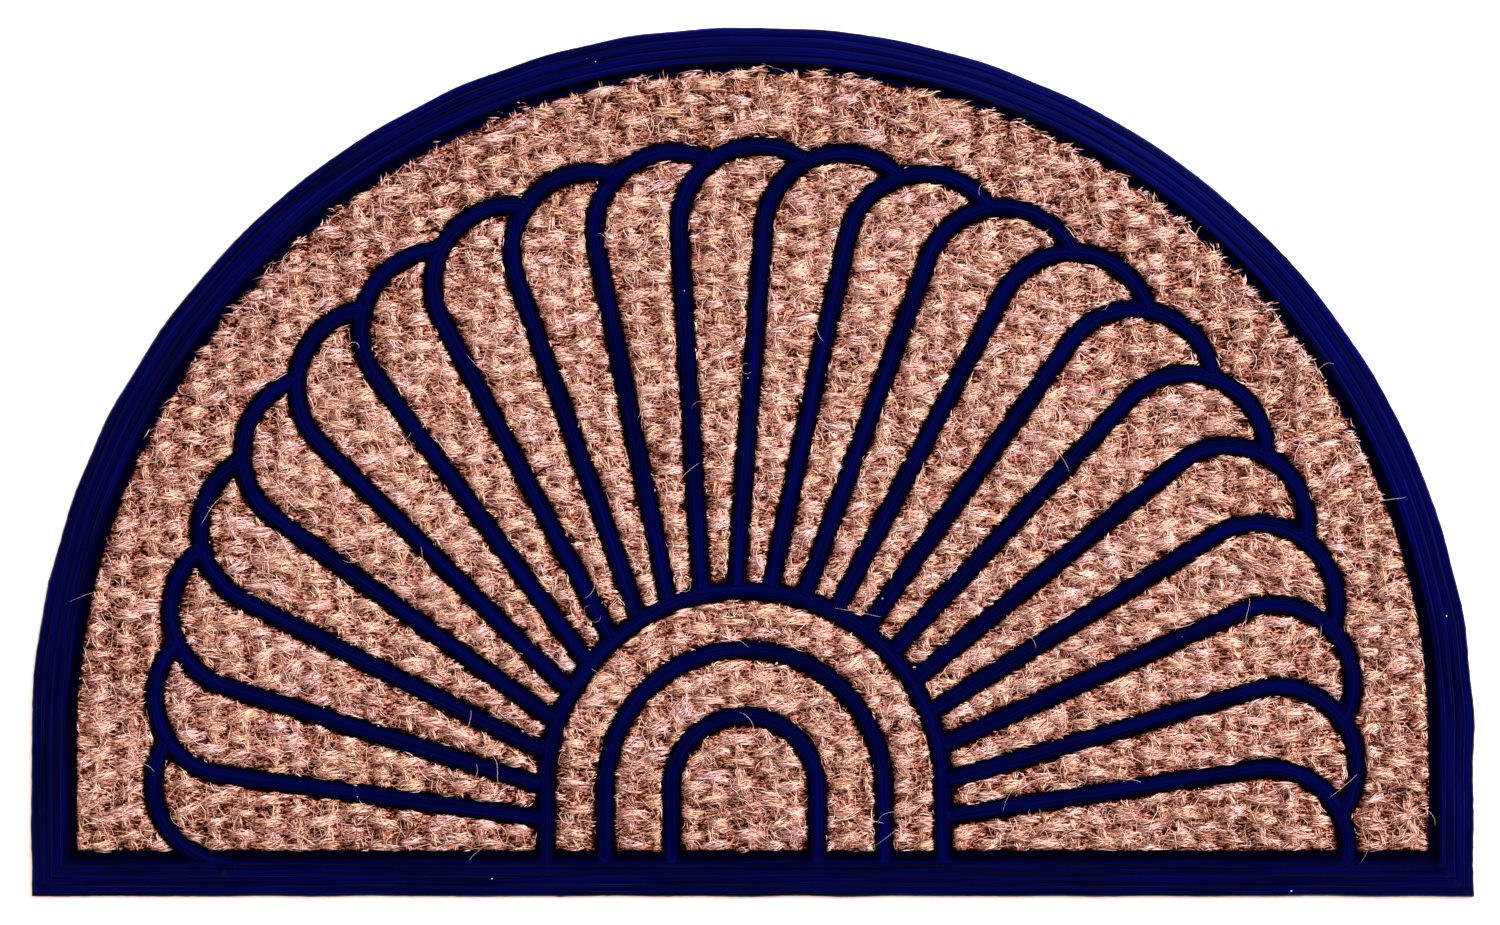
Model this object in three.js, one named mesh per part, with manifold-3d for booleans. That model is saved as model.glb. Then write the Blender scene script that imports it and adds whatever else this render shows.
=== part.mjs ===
// Half-round doormat: one sheet of coarse woven coir, held in one rubber moulding.
// Millimetres, +Z up. The origin lies under the middle of the mat, on the floor.
// The straight edge of the mat faces -Y, and the bow faces +Y.
import * as THREE from 'three';
import { mergeVertices } from 'three/addons/utils/BufferGeometryUtils.js';
import Module from 'manifold-3d';

const wasm = await Module();
wasm.setup();

// Outline of the mat: two quarter bows with a short flat between them run down into two
// upright sides, over a straight front edge.
const MAT_WIDTH = 762;
const MAT_DEPTH = 459;
const BOW_RADIUS = 376;
const QUARTER_STEPS = 28;

// Heights of the layers, from the floor up.
const BASE_THICKNESS = 2;
const COIR_TOP = 10;
const COIR_UNDER_RIBS = 4;
const SEAT_GAP = 0.3;

// Border: a ramp from the thin outer edge to the crest, cut by grooves, with a ledge inside.
const EDGE_HEIGHT = 2.6;
const CREST_INSET = 18.6;
const CREST_HEIGHT = 8.5;
const GROOVE_COUNT = 3;
const FIRST_GROOVE_INSET = 4.7;
const GROOVE_PITCH = 5.2;
const GROOVE_HALF_WIDTH = 0.6;
const GROOVE_DEPTH = 0.9;
const LEDGE_INSET = 20;
const LEDGE_HEIGHT = 5.4;
const BORDER_WIDTH = 24;
const COIR_EDGE_BEVEL = 0.8;

// Ribs: half of the section, from the foot to the middle of the crown.
const RIB_FOOT = COIR_UNDER_RIBS + SEAT_GAP;
const RIB_SECTION = [
  { halfWidth: 5.0, height: RIB_FOOT },
  { halfWidth: 4.3, height: 5.9 },
  { halfWidth: 3.2, height: 7.6 },
  { halfWidth: 0.0, height: 8.3 },
];
const RIB_HALF_WIDTH = RIB_SECTION[0].halfWidth;
const CHANNEL_FOOT_CLEARANCE = 0.4;
const CHANNEL_TOP_CLEARANCE = 0.8;
const CHANNEL_OVERSHOOT = 1;

// Arches round one centre, each with two straight legs down to the front border.
const ARCH_CENTRE = new THREE.Vector2(-4.4, -172.8);
const ARCH_RADII = [104.8, 73.6, 38.6];
const ARCH_STEPS = 24;

// Fan: every petal is a round cap on a ring, hidden in part by its clockwise neighbour,
// with a straight stem from the outer arch that runs into the cap along its tangent.
const PETAL_COUNT = 22;
const CAP_RING_CENTRE = new THREE.Vector2(1, -151.1);
const CAP_RING_RADIUS = 276.2;
const CAP_RADIUS = 41.7;
const CAP_FIRST_ANGLE = -12.5;
const CAP_ANGLE_STEP = 9.282;
const CAP_ANGLE_DRIFT = 0.014;
const ROOT_RING_RADIUS = 107.8;
const ROOT_FIRST_ANGLE = -5.5;
const ROOT_ANGLE_STEP = 9.795;
const ROOT_ANGLE_DRIFT = -0.022;
const FIRST_CAP_END_ANGLE = -12;
const LAST_CAP_START_ANGLE = 270;
const CAP_STEPS = 10;

const BOW_CENTRE_X = MAT_WIDTH / 2 - BOW_RADIUS;
const BOW_CENTRE_Y = MAT_DEPTH / 2 - BOW_RADIUS;
const FRONT_Y = -MAT_DEPTH / 2;

const rubberMaterial = new THREE.MeshStandardMaterial({
  name: 'rubber', color: 0x070b3c, roughness: 0.5, metalness: 0,
});
const coirMaterial = new THREE.MeshStandardMaterial({
  name: 'coir', color: 0xc28a79, roughness: 0.95, metalness: 0,
});

// The mat's outline moved inwards, anticlockwise from the front right corner.
function outlineAt(inset) {
  const radius = BOW_RADIUS - inset;
  const halfWidth = MAT_WIDTH / 2 - inset;
  const top = Math.PI / 2;
  const right = new THREE.ArcCurve(BOW_CENTRE_X, BOW_CENTRE_Y, radius, 0, top, false);
  const left = new THREE.ArcCurve(-BOW_CENTRE_X, BOW_CENTRE_Y, radius, top, Math.PI, false);
  return [
    new THREE.Vector2(halfWidth, FRONT_Y + inset),
    ...right.getPoints(QUARTER_STEPS),
    ...left.getPoints(QUARTER_STEPS),
    new THREE.Vector2(-halfWidth, FRONT_Y + inset),
  ];
}

// A closed skin through outlines of given inset and height, capped at both ends.
function loftRings(rings) {
  const outlines = rings.map((ring) => outlineAt(ring.inset));
  const count = outlines[0].length;
  const positions = outlines.flatMap((outline, row) =>
    outline.flatMap((point) => [point.x, point.y, rings[row].height]));
  const faces = [];
  for (let row = 0; row + 1 < rings.length; row += 1) {
    for (let column = 0; column < count; column += 1) {
      const next = (column + 1) % count;
      const low = row * count;
      const high = low + count;
      faces.push(low + column, low + next, high + next);
      faces.push(low + column, high + next, high + column);
    }
  }
  const lastRing = (rings.length - 1) * count;
  for (let corner = 1; corner + 1 < count; corner += 1) {
    faces.push(0, corner + 1, corner);
    faces.push(lastRing, lastRing + corner, lastRing + corner + 1);
  }
  const geometry = new THREE.BufferGeometry();
  geometry.setAttribute('position', new THREE.Float32BufferAttribute(positions, 3));
  geometry.setIndex(faces);
  return geometry;
}

// A run of straight pieces through points on the ground plane, one step for each piece.
class RibLine extends THREE.Curve {
  constructor(points) {
    super();
    this.points = points.map((point) => new THREE.Vector3(point.x, point.y, 0));
  }

  getPoint(t, target = new THREE.Vector3()) {
    const place = t * (this.points.length - 1);
    const index = Math.min(Math.floor(place), this.points.length - 2);
    return target.lerpVectors(this.points[index], this.points[index + 1], place - index);
  }

  getUtoTmapping(u) {
    return u;
  }
}

// A section swept along a rib line. The extruder lays a section's x axis downwards
// and its y axis to the left of the way, so heights go in negative.
function sweep(section, points) {
  const corners = section.map((corner) => new THREE.Vector2(-corner.height, corner.side));
  return new THREE.ExtrudeGeometry(new THREE.Shape(corners), {
    steps: points.length - 1,
    extrudePath: new RibLine(points),
  });
}

// The rib's own section: flat under, with leaning flanks and a low crown.
function ribSection() {
  const flank = RIB_SECTION.slice(0, -1);
  const crown = RIB_SECTION.at(-1);
  const right = flank.map((row) => ({ side: -row.halfWidth, height: row.height }));
  const left = flank.map((row) => ({ side: row.halfWidth, height: row.height })).reverse();
  return [...right, { side: 0, height: crown.height }, ...left];
}

// The channel that a rib presses into the coir, open above the coir's face.
function channelSection() {
  const foot = RIB_HALF_WIDTH + CHANNEL_FOOT_CLEARANCE;
  const mouth = RIB_HALF_WIDTH + CHANNEL_TOP_CLEARANCE;
  const top = COIR_TOP + CHANNEL_OVERSHOOT;
  return [
    { side: -foot, height: COIR_UNDER_RIBS },
    { side: -mouth, height: top },
    { side: mouth, height: top },
    { side: foot, height: COIR_UNDER_RIBS },
  ];
}

function pointOnRing(centre, radius, degrees) {
  const angle = THREE.MathUtils.degToRad(degrees);
  return new THREE.Vector2(Math.cos(angle), Math.sin(angle)).multiplyScalar(radius).add(centre);
}

// Equal steps round the fan, with a slight drift towards both ends.
function stepAngle(first, step, drift, index, middle) {
  return first + step * index + drift * (index - middle) ** 2;
}

function capCentre(petal) {
  const middle = (PETAL_COUNT - 1) / 2;
  const degrees = stepAngle(CAP_FIRST_ANGLE, CAP_ANGLE_STEP, CAP_ANGLE_DRIFT, petal, middle);
  return pointOnRing(CAP_RING_CENTRE, CAP_RING_RADIUS, degrees);
}

function stemRoot(petal) {
  const middle = (PETAL_COUNT - 2) / 2;
  const degrees = stepAngle(ROOT_FIRST_ANGLE, ROOT_ANGLE_STEP, ROOT_ANGLE_DRIFT, petal, middle);
  return pointOnRing(ARCH_CENTRE, ROOT_RING_RADIUS, degrees);
}

// The angle on a cap where a stem from the root meets it without a corner.
function stemAngle(root, centre) {
  const way = centre.clone().sub(root);
  return way.angle() + Math.asin(CAP_RADIUS / way.length()) + Math.PI / 2;
}

// The angle on a cap of its outer crossing with the clockwise neighbour.
function neighbourAngle(centre, neighbour) {
  const halfStep = neighbour.clone().sub(centre).multiplyScalar(0.5);
  return halfStep.angle() + Math.acos(halfStep.length() / CAP_RADIUS);
}

function petalPoints(petal) {
  const centre = capCentre(petal);
  const stem = [];
  let start = THREE.MathUtils.degToRad(LAST_CAP_START_ANGLE);
  let end = THREE.MathUtils.degToRad(FIRST_CAP_END_ANGLE);
  if (petal < PETAL_COUNT - 1) {
    const root = stemRoot(petal);
    stem.push(root);
    start = stemAngle(root, centre);
  }
  if (petal > 0) {
    end = neighbourAngle(centre, capCentre(petal - 1));
  }
  const cap = new THREE.ArcCurve(centre.x, centre.y, CAP_RADIUS, start, end, true);
  return [...stem, ...cap.getPoints(CAP_STEPS)];
}

function archPoints(radius) {
  const legEnd = FRONT_Y + CREST_INSET - GROOVE_HALF_WIDTH;
  const arch = new THREE.ArcCurve(ARCH_CENTRE.x, ARCH_CENTRE.y, radius, 0, Math.PI, false);
  return [
    new THREE.Vector2(ARCH_CENTRE.x + radius, legEnd),
    ...arch.getPoints(ARCH_STEPS),
    new THREE.Vector2(ARCH_CENTRE.x - radius, legEnd),
  ];
}

// The border from under the outer edge, up the grooved ramp and down to the tray's floor.
function borderRings() {
  const rampHeight = (inset) =>
    THREE.MathUtils.lerp(EDGE_HEIGHT, CREST_HEIGHT, inset / CREST_INSET);
  const rings = [{ inset: 0, height: 0 }, { inset: 0, height: EDGE_HEIGHT }];
  for (let groove = 0; groove < GROOVE_COUNT; groove += 1) {
    const inset = FIRST_GROOVE_INSET + groove * GROOVE_PITCH;
    const outer = inset - GROOVE_HALF_WIDTH;
    const inner = inset + GROOVE_HALF_WIDTH;
    rings.push({ inset: outer, height: rampHeight(outer) });
    rings.push({ inset, height: rampHeight(inset) - GROOVE_DEPTH });
    rings.push({ inset: inner, height: rampHeight(inner) });
  }
  rings.push({ inset: CREST_INSET, height: CREST_HEIGHT });
  rings.push({ inset: LEDGE_INSET, height: LEDGE_HEIGHT });
  rings.push({ inset: BORDER_WIDTH, height: LEDGE_HEIGHT });
  rings.push({ inset: BORDER_WIDTH, height: BASE_THICKNESS });
  return rings;
}

function coirRings() {
  const inset = BORDER_WIDTH + SEAT_GAP;
  return [
    { inset, height: BASE_THICKNESS + SEAT_GAP },
    { inset, height: COIR_TOP - COIR_EDGE_BEVEL },
    { inset: inset + COIR_EDGE_BEVEL, height: COIR_TOP },
  ];
}

function toSolid(geometry) {
  const bare = geometry.clone();
  bare.deleteAttribute('normal');
  bare.deleteAttribute('uv');
  const merged = mergeVertices(bare);
  return new wasm.Manifold(new wasm.Mesh({
    numProp: 3,
    vertProperties: new Float32Array(merged.attributes.position.array),
    triVerts: new Uint32Array(merged.index.array),
  }));
}

function toMesh(name, solid, material) {
  const { vertProperties, triVerts } = solid.getMesh();
  const geometry = new THREE.BufferGeometry();
  geometry.setAttribute('position', new THREE.BufferAttribute(vertProperties, 3));
  geometry.setIndex(new THREE.BufferAttribute(triVerts, 1));
  geometry.computeVertexNormals();
  const mesh = new THREE.Mesh(geometry, material);
  mesh.name = name;
  return mesh;
}

const ribLines = ARCH_RADII.map(archPoints);
for (let petal = 0; petal < PETAL_COUNT; petal += 1) {
  ribLines.push(petalPoints(petal));
}

let rubber = toSolid(loftRings(borderRings()));
let coir = toSolid(loftRings(coirRings()));
for (const line of ribLines) {
  rubber = rubber.add(toSolid(sweep(ribSection(), line)));
  coir = coir.subtract(toSolid(sweep(channelSection(), line)));
}

const doormat = new THREE.Group();
doormat.add(toMesh('rubber_base', rubber, rubberMaterial));
doormat.add(toMesh('coir_sheet', coir, coirMaterial));

export default doormat;
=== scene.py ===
import math

import bpy
import numpy as np
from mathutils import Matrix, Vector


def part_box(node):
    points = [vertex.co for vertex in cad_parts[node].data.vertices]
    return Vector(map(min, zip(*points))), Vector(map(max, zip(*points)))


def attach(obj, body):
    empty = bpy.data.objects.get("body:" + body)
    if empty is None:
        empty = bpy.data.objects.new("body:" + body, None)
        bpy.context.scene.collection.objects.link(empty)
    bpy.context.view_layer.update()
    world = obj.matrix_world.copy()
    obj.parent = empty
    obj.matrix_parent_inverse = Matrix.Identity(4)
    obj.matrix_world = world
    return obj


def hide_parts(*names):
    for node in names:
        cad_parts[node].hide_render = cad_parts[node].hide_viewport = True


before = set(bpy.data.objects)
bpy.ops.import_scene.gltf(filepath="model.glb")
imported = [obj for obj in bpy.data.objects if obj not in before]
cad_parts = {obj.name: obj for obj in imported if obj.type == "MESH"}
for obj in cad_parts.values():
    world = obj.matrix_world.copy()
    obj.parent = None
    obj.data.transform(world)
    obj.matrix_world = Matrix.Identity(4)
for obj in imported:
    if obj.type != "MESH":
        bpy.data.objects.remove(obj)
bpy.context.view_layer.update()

# Rubber moulding
# The real piece is pressed hot from one lump of navy-black rubber. A thin base carries a ramped
# border with three grooves, three arches and a fan of looped ribs, and the coir lies in it.
MM = 0.001
rubber_low, rubber_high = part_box("rubber_base")
HALF_WIDTH = rubber_high[0] / MM
FRONT_Y = rubber_low[1] / MM
BOW_RADIUS = 376
BOW_X = HALF_WIDTH - BOW_RADIUS
BOW_Y = rubber_high[1] / MM - BOW_RADIUS
BASE_TOP = 2.0
EDGE_HEIGHT = 2.6
EDGE_ROUND = 0.9
CREST_INSET = 18.6
CREST_HEIGHT = 8.5
CREST_ROUND = 0.7
RAMP_BULGE = 0.9
GUTTER_INSET = 20.0
GUTTER_HEIGHT = 3.6
GUTTER_WALL = ((0.9, 2.6), (0.4, 0.7))
FLASH_INSET = 21.4
FLASH_HEIGHT = 6.0
BORDER_WIDTH = 24.0
GROOVE_INSETS = (4.7, 9.9, 15.1)
GROOVE_DEPTH = 0.55
GROOVE_SPREAD = 0.5
GROOVE_REACH = 1.8
ROUND_RINGS = 4
GROOVE_RINGS = 7
FLASH_RINGS = 6
QUARTER_STEPS = 190
SIDE_STEPS = 26
FRONT_STEPS = 240


def mat_outline(inset):
    """The mat's outline moved inwards, anticlockwise from the front right corner."""
    radius = BOW_RADIUS - inset
    side = HALF_WIDTH - inset
    front = FRONT_Y + inset
    angle = np.linspace(0, math.pi / 2, QUARTER_STEPS + 1)
    right_bow = np.stack([BOW_X + radius * np.cos(angle), BOW_Y + radius * np.sin(angle)], axis=1)
    left_bow = right_bow[::-1] * (-1, 1)
    right = np.linspace((side, front), right_bow[0], SIDE_STEPS, endpoint=False)
    left = np.linspace(left_bow[-1], (-side, front), SIDE_STEPS, endpoint=False)[1:]
    straight = np.linspace((-side, front), (side, front), FRONT_STEPS, endpoint=False)
    return np.concatenate([right, right_bow, left_bow, left, straight])


# How uneven the border is. Its edge sways and has burrs, and rubber has squeezed out beside the coir as
# flash. A ripple is given by its fewest waves round the mat and by how many waves it is made of.
BORDER_SEED = 11
RIPPLE_RANGE = 6
BURRS = (50, 16)
BURR_START = 1.5
BURR_SIZE = 0.6
SLOW_SWAY = (8, 12)
SLOW_SIZE = 0.35
FINE_SWAY = (60, 12)
FINE_SIZE = 0.1
FLASH_LUMPS = (80, 16)
FLASH_MEAN = 0.45
FLASH_SPREAD = 0.4
FLASH_RANGE = (-0.1, 1.2)
FLASH_LESS_SHADE = 0.8
FRONT_FLASH = 0.1
# Painted shade down into the gutter, less on flash lumps that rise out of it.
GUTTER_SHADE_INSET = CREST_INSET - 0.2
# Painted shade down the front ramp, darker towards the gutter.
FRONT_SHADE = 0.5
FRONT_SHADE_INSET = 8
FRONT_SHADE_FADE = 10
BOW_START = -60
BOW_FADE = 160


def ripple(count, fewest, parts, rng):
    """Soft random waves of height about one round the mat, for edges that no mould gives exactly."""
    place = np.linspace(0, 2 * math.pi, count, endpoint=False)
    cycles = rng.integers(fewest, fewest * RIPPLE_RANGE, parts)
    phase = rng.uniform(0, 2 * math.pi, parts)
    return np.cos(place[:, None] * cycles + phase).sum(axis=1) / math.sqrt(parts)


def ramp_height(inset):
    """The height of the border's ramp, with its grooves and its two rounded edges."""
    height = EDGE_HEIGHT + (CREST_HEIGHT - EDGE_HEIGHT) * (inset / CREST_INSET) ** RAMP_BULGE
    for groove in GROOVE_INSETS:
        height -= GROOVE_DEPTH * math.exp(-((inset - groove) / GROOVE_SPREAD) ** 2)
    outer = max(0.0, 1 - inset / EDGE_ROUND)
    inner = max(0.0, 1 - (CREST_INSET - inset) / CREST_ROUND)
    return height - EDGE_ROUND * outer ** 2 - CREST_ROUND * inner ** 2


def border_rings():
    """Inset and height of each ring of the border, from under its edge to the floor of the tray."""
    outer = np.linspace(0, EDGE_ROUND, ROUND_RINGS)
    inner = np.linspace(CREST_INSET - CREST_ROUND, CREST_INSET, ROUND_RINGS)
    reach = GROOVE_SPREAD * np.linspace(-GROOVE_REACH, GROOVE_REACH, GROOVE_RINGS)
    ramp = np.unique(np.concatenate([outer, inner] + [groove + reach for groove in GROOVE_INSETS]))
    rings = [(0.0, 0.0)]
    rings += [(inset, ramp_height(inset)) for inset in ramp]
    rings += [(GUTTER_INSET - out, GUTTER_HEIGHT + up) for out, up in GUTTER_WALL]
    rings += [(GUTTER_INSET, GUTTER_HEIGHT)]
    rings += [(inset, GUTTER_HEIGHT) for inset in np.linspace(FLASH_INSET, BORDER_WIDTH, FLASH_RINGS)]
    rings += [(BORDER_WIDTH, BASE_TOP)]
    return np.array(rings)


def build_mesh(name, points, faces):
    """A mesh from points in millimetres and from arrays of faces, each with its own count of corners."""
    mesh = bpy.data.meshes.new(name)
    corners = np.concatenate([np.asarray(part, np.int32).ravel() for part in faces])
    sizes = np.concatenate([np.full(len(part), np.shape(part)[1], np.int32) for part in faces])
    starts = np.concatenate([[0], np.cumsum(sizes)[:-1]]).astype(np.int32)
    mesh.vertices.add(len(points))
    mesh.vertices.foreach_set("co", (np.asarray(points) * MM).astype(np.float32).ravel())
    mesh.loops.add(len(corners))
    mesh.loops.foreach_set("vertex_index", corners)
    mesh.polygons.add(len(sizes))
    mesh.polygons.foreach_set("loop_start", starts)
    mesh.update(calc_edges=True)
    mesh.validate()
    return mesh


def add_values(mesh, name, values):
    """One number for each point of a mesh, for its material to read."""
    layer = mesh.attributes.new(name, "FLOAT", "POINT")
    layer.data.foreach_set("value", np.asarray(values, np.float32))


def bow_share(y):
    """0 by the straight edge, and 1 round the bow, where the flash and the fringe are rougher."""
    return np.clip((y - BOW_START) / BOW_FADE, 0, 1)


def tray_mesh():
    """The base and the border as one closed skin of rings, with rough flash beside the coir."""
    rng = np.random.default_rng(BORDER_SEED)
    rings = border_rings()
    insets = rings[:, :1]
    outlines = np.stack([mat_outline(inset) for inset in rings[:, 0]])
    rows, count = outlines.shape[:2]
    burrs = np.maximum(ripple(count, *BURRS, rng) - BURR_START, 0)
    sway = SLOW_SIZE * ripple(count, *SLOW_SWAY, rng) + FINE_SIZE * ripple(count, *FINE_SWAY, rng)
    sway += BURR_SIZE * burrs
    edge_share = np.clip(1 - insets / CREST_INSET, 0, 1)
    outlines *= 1 + (edge_share * sway)[..., None] / HALF_WIDTH
    # Painted shade, darkest down in the gutter.
    depth = np.clip((insets - GUTTER_SHADE_INSET) / (GUTTER_INSET - GUTTER_SHADE_INSET), 0, 1)
    # Painted shade down the front ramp, darker towards the gutter.
    front_shaded = FRONT_SHADE * np.clip((insets - FRONT_SHADE_INSET) / FRONT_SHADE_FADE, 0, 1)
    on_front = np.isclose(mat_outline(0)[:, 1], FRONT_Y)
    grime = np.maximum(depth, np.where(on_front, front_shaded, 0))
    heights = np.repeat(rings[:, 1:], count, axis=1)
    flash_fill = np.maximum(bow_share(outlines[0, :, 1]), FRONT_FLASH)
    for row in np.flatnonzero((rings[:, 0] > FLASH_INSET) & (rings[:, 1] > BASE_TOP)):
        lumps = FLASH_MEAN + FLASH_SPREAD * ripple(count, *FLASH_LUMPS, rng)
        lumps = flash_fill * np.clip(lumps, *FLASH_RANGE)
        heights[row] += (FLASH_HEIGHT - GUTTER_HEIGHT) * lumps
        # Less painted shade on the flash lumps that rise out of the gutter.
        grime[row] -= FLASH_LESS_SHADE * np.clip(lumps, 0, 1)
    points = np.concatenate([outlines, heights[..., None]], axis=2).reshape(-1, 3)
    column = np.arange(count)
    after = (column + 1) % count
    quads = [np.stack([column, after, after + count, column + count], axis=1) + row * count
             for row in range(rows - 1)]
    bottom = column[::-1][None]
    top = (column + (rows - 1) * count)[None]
    mesh = build_mesh("rubber_tray", points, [np.concatenate(quads), bottom, top])
    steps = np.linalg.norm(np.diff(outlines[0], axis=0, prepend=outlines[0][:1]), axis=1)
    add_values(mesh, "along", np.tile(np.cumsum(steps), rows))
    add_values(mesh, "across", np.repeat(rings[:, 0], count))
    add_values(mesh, "grime", grime.ravel())
    return mesh


# Centrelines of the arches and of the fan. Each petal of the fan is a round cap on a ring, with a
# straight stem from the outer arch that runs into it without a corner.
ARCH_CENTRE = np.array([-4.4, -172.8])
ARCH_RADII = (104.8, 73.6, 38.6)
PETAL_COUNT = 22
CAP_RING_CENTRE = np.array([1.0, -151.1])
CAP_RING_RADIUS = 276.2
CAP_RADIUS = 41.7
CAP_ANGLES = {"first": -12.5, "step": 9.282, "drift": 0.014, "middle": 10.5}
ROOT_RING_RADIUS = 107.8
ROOT_ANGLES = {"first": -5.5, "step": 9.795, "drift": -0.022, "middle": 10.0}
FIRST_CAP_END = math.radians(-12)
LAST_CAP_START = math.radians(270)
ARC_STEP = 1.5
LEG_SINK = 0.6


def on_ring(centre, radius, angles, index):
    """A place on a ring, counted in nearly equal steps from the right."""
    drift = angles["drift"] * (index - angles["middle"]) ** 2
    turn = math.radians(angles["first"] + angles["step"] * index + drift)
    return centre + radius * np.array([math.cos(turn), math.sin(turn)])


def cap_arc(petal):
    """Centre, start and end angle of a petal's cap, which is drawn clockwise."""
    centre = on_ring(CAP_RING_CENTRE, CAP_RING_RADIUS, CAP_ANGLES, petal)
    start, end = LAST_CAP_START, FIRST_CAP_END
    if petal < PETAL_COUNT - 1:
        way = centre - stem_root(petal)
        start = math.atan2(way[1], way[0]) + math.asin(CAP_RADIUS / np.hypot(*way)) + math.pi / 2
    if petal > 0:
        half = (on_ring(CAP_RING_CENTRE, CAP_RING_RADIUS, CAP_ANGLES, petal - 1) - centre) / 2
        end = math.atan2(half[1], half[0]) + math.acos(np.hypot(*half) / CAP_RADIUS)
    while end > start:
        end -= 2 * math.pi
    return centre, start, end


def stem_root(petal):
    """Where a petal's stem leaves the outer arch."""
    return on_ring(ARCH_CENTRE, ROOT_RING_RADIUS, ROOT_ANGLES, petal)


def arc_points(centre, radius, start, end):
    """Points on an arc, a small step apart."""
    steps = max(2, math.ceil(abs(end - start) * radius / ARC_STEP))
    angle = np.linspace(start, end, steps + 1)
    return centre + radius * np.stack([np.cos(angle), np.sin(angle)], axis=1)


def rib_lines():
    """The centreline of every arch and petal."""
    leg_end = FRONT_Y + CREST_INSET - LEG_SINK
    lines = []
    for radius in ARCH_RADII:
        arch = arc_points(ARCH_CENTRE, radius, 0, math.pi)
        lines.append(np.concatenate([[(arch[0, 0], leg_end)], arch, [(arch[-1, 0], leg_end)]]))
    for petal in range(PETAL_COUNT):
        centre, start, end = cap_arc(petal)
        cap = arc_points(centre, CAP_RADIUS, start, end)
        stem = [stem_root(petal)] if petal < PETAL_COUNT - 1 else np.empty((0, 2))
        lines.append(np.concatenate([stem, cap]))
    return lines


# Half the section of a rib, from its foot to its crown. The other half mirrors it.
RIB_HALF_WIDTH = 5.0
RIB_SECTION = np.array([
    (RIB_HALF_WIDTH, 4.3), (4.65, 4.8), (4.3, 5.6), (3.95, 6.5), (3.4, 7.3), (2.6, 7.9), (1.3, 8.26),
])
# The rib's painted shade is none on its crown and grows over its shoulder down to its foot.
RIB_CROWN = 0.8
RIB_SHOULDER = 3.2
RIB_STEP = 3.4
RIB_UNEVEN = (1.2, 1.2, 0.5)
RIB_LUMPS = 130.0


def section_mesh():
    """The rib's section as a closed line. A sweep along a level line turns its y axis downwards."""
    left = RIB_SECTION * (-1, -1)
    right = RIB_SECTION[::-1] * (1, -1)
    corners = np.concatenate([left, right])
    points = np.concatenate([corners, np.zeros((len(corners), 1))], axis=1) * MM
    count = len(points)
    mesh = bpy.data.meshes.new("rib_section")
    mesh.from_pydata(points.tolist(), [(i, (i + 1) % count) for i in range(count)], [])
    add_values(mesh, "across", corners[:, 0])
    # Painted shade on the rib's flanks.
    add_values(mesh, "grime", np.clip((np.abs(corners[:, 0]) - RIB_CROWN) / RIB_SHOULDER, 0, 1))
    return mesh


def lines_mesh(lines):
    """Centrelines as runs of edges on the floor plane."""
    points, edges = [], []
    for line in lines:
        edges += [(len(points) + i, len(points) + i + 1) for i in range(len(line) - 1)]
        points += [(x * MM, y * MM, 0.0) for x, y in line]
    mesh = bpy.data.meshes.new("rib_lines")
    mesh.from_pydata(points, edges, [])
    return mesh


def new_tree(name, inputs):
    """An empty tree of geometry nodes, and the identifiers of its named inputs."""
    tree = bpy.data.node_groups.new(name, "GeometryNodeTree")
    tree.interface.new_socket("Geometry", in_out="INPUT", socket_type="NodeSocketGeometry")
    names = {label: tree.interface.new_socket(label, in_out="INPUT", socket_type=kind).identifier
             for label, kind in inputs.items()}
    tree.interface.new_socket("Geometry", in_out="OUTPUT", socket_type="NodeSocketGeometry")
    return tree, names


def feed(tree, node, inputs):
    """Sets inputs of a node to a value, or links them to an output or to each of a list of outputs."""
    for socket, source in inputs.items():
        sources = source if isinstance(source, list) else [source]
        for output in sources:
            if isinstance(output, bpy.types.NodeSocket):
                tree.links.new(output, node.inputs[socket])
            else:
                node.inputs[socket].default_value = output


def add_node(tree, kind, inputs, **settings):
    """Adds a node with those settings and inputs, and gives its outputs."""
    node = tree.nodes.new(kind)
    for name, value in settings.items():
        setattr(node, name, value)
    feed(tree, node, inputs)
    return node.outputs


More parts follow.
